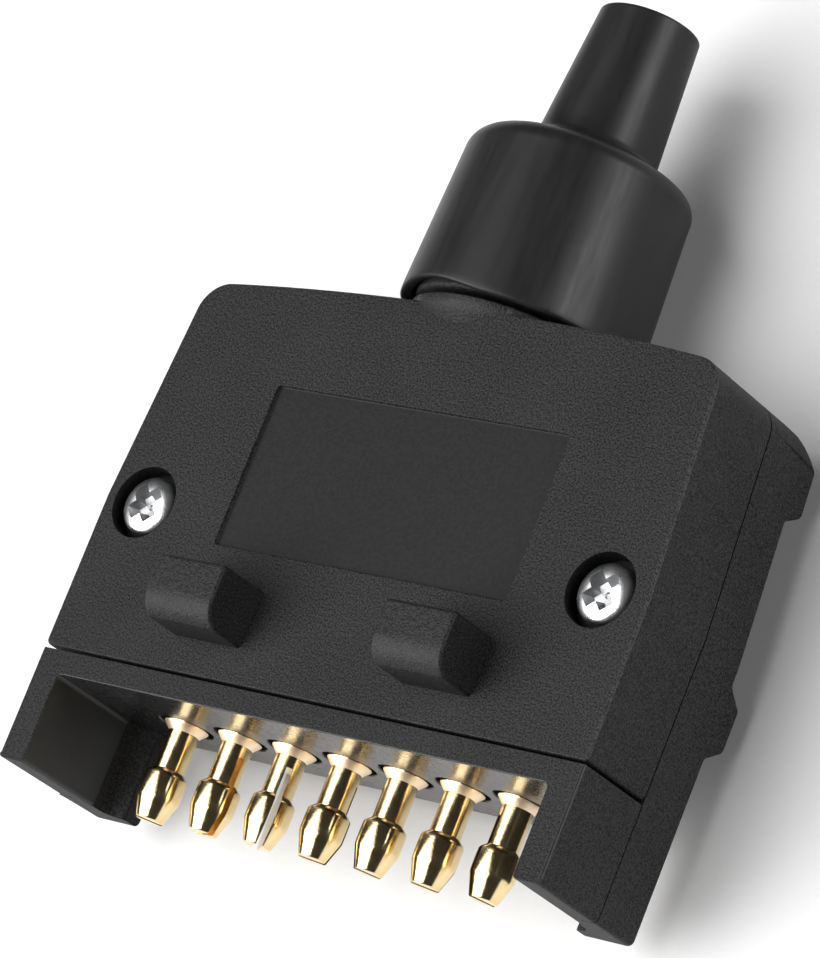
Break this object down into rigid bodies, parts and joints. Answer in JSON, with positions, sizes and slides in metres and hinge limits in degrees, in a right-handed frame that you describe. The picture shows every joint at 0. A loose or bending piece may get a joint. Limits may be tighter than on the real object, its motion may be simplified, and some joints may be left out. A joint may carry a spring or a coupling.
{
  "type": "flat trailer plug",
  "caption": "Flat moulded trailer wiring plug with a row of split pins between two wings, a screwed two-part shell and a rubber cable boot",
  "frame": {"origin": "middle of the plug's length and width, on the surface it lies on back down (the lowest line of the boot)", "axes": "+Z out of the front face that carries the label recess and latch blocks, +Y from the pins towards the cable end, +X across the row of pins"},
  "size_m": [0.058, 0.0766, 0.0239],
  "materials": {
    "shell_plastic": "fine spark-eroded black texture",
    "carrier_plastic": "satin black, smooth in the mouth",
    "boot_rubber": "smooth satin black",
    "pin_brass": "polished, gold tone",
    "zinc_steel": "bright zinc plate",
    "terminal_steel": "plain steel"
  },
  "bodies": {
    "root": {"rear_housing": "shell_plastic", "pin_carrier": "carrier_plastic", "contact_pin_1": "pin_brass", "contact_pin_2": "pin_brass", "contact_pin_3": "pin_brass", "contact_pin_4": "pin_brass", "contact_pin_5": "pin_brass", "contact_pin_6": "pin_brass", "contact_pin_7": "pin_brass"},
    "front_cover": {"front_cover": "shell_plastic"},
    "housing_screw_left": {"housing_screw_left": "zinc_steel"},
    "housing_screw_right": {"housing_screw_right": "zinc_steel"},
    "cable_clamp": {"cable_clamp": "shell_plastic"},
    "clamp_screw_left": {"clamp_screw_left": "zinc_steel"},
    "clamp_screw_right": {"clamp_screw_right": "zinc_steel"},
    "rubber_boot": {"rubber_boot": "boot_rubber"},
    "terminal_screw_1": {"terminal_screw_1": "terminal_steel"},
    "terminal_screw_2": {"terminal_screw_2": "terminal_steel"},
    "terminal_screw_3": {"terminal_screw_3": "terminal_steel"},
    "terminal_screw_4": {"terminal_screw_4": "terminal_steel"},
    "terminal_screw_5": {"terminal_screw_5": "terminal_steel"},
    "terminal_screw_6": {"terminal_screw_6": "terminal_steel"},
    "terminal_screw_7": {"terminal_screw_7": "terminal_steel"}
  },
  "joints": [
    {"name": "cover_lift", "type": "slide", "parent": "root", "child": "front_cover", "axis": [0, 0, 1], "range_m": [0, 0.02]},
    {"name": "boot_slide", "type": "slide", "parent": "root", "child": "rubber_boot", "axis": [0, 1, 0], "range_m": [0, 0.03]},
    {"name": "clamp_lift", "type": "slide", "parent": "root", "child": "cable_clamp", "axis": [0, 0, 1], "range_m": [0, 0.0014]},
    {"name": "housing_screw_left_turn", "type": "hinge", "parent": "front_cover", "child": "housing_screw_left", "pos_m": [-0.0247, -0.01367, 0.01854], "axis": [0, 0, 1], "continuous": true},
    {"name": "housing_screw_right_turn", "type": "hinge", "parent": "front_cover", "child": "housing_screw_right", "pos_m": [0.0241, -0.01367, 0.01854], "axis": [0, 0, 1], "continuous": true},
    {"name": "clamp_screw_left_turn", "type": "hinge", "parent": "cable_clamp", "child": "clamp_screw_left", "pos_m": [-0.0051, 0.01827, 0.01194], "axis": [0, 0, 1], "continuous": true},
    {"name": "clamp_screw_right_turn", "type": "hinge", "parent": "cable_clamp", "child": "clamp_screw_right", "pos_m": [0.0051, 0.01827, 0.01194], "axis": [0, 0, 1], "continuous": true},
    {"name": "terminal_screw_1_turn", "type": "hinge", "parent": "root", "child": "terminal_screw_1", "pos_m": [-0.018, -0.01682, 0.01034], "axis": [0, 0, 1], "continuous": true},
    {"name": "terminal_screw_2_turn", "type": "hinge", "parent": "root", "child": "terminal_screw_2", "pos_m": [-0.012, -0.01682, 0.01034], "axis": [0, 0, 1], "continuous": true},
    {"name": "terminal_screw_3_turn", "type": "hinge", "parent": "root", "child": "terminal_screw_3", "pos_m": [-0.006, -0.01682, 0.01034], "axis": [0, 0, 1], "continuous": true},
    {"name": "terminal_screw_4_turn", "type": "hinge", "parent": "root", "child": "terminal_screw_4", "pos_m": [0, -0.01682, 0.01034], "axis": [0, 0, 1], "continuous": true},
    {"name": "terminal_screw_5_turn", "type": "hinge", "parent": "root", "child": "terminal_screw_5", "pos_m": [0.006, -0.01682, 0.01034], "axis": [0, 0, 1], "continuous": true},
    {"name": "terminal_screw_6_turn", "type": "hinge", "parent": "root", "child": "terminal_screw_6", "pos_m": [0.012, -0.01682, 0.01034], "axis": [0, 0, 1], "continuous": true},
    {"name": "terminal_screw_7_turn", "type": "hinge", "parent": "root", "child": "terminal_screw_7", "pos_m": [0.018, -0.01682, 0.01034], "axis": [0, 0, 1], "continuous": true}
  ]
}
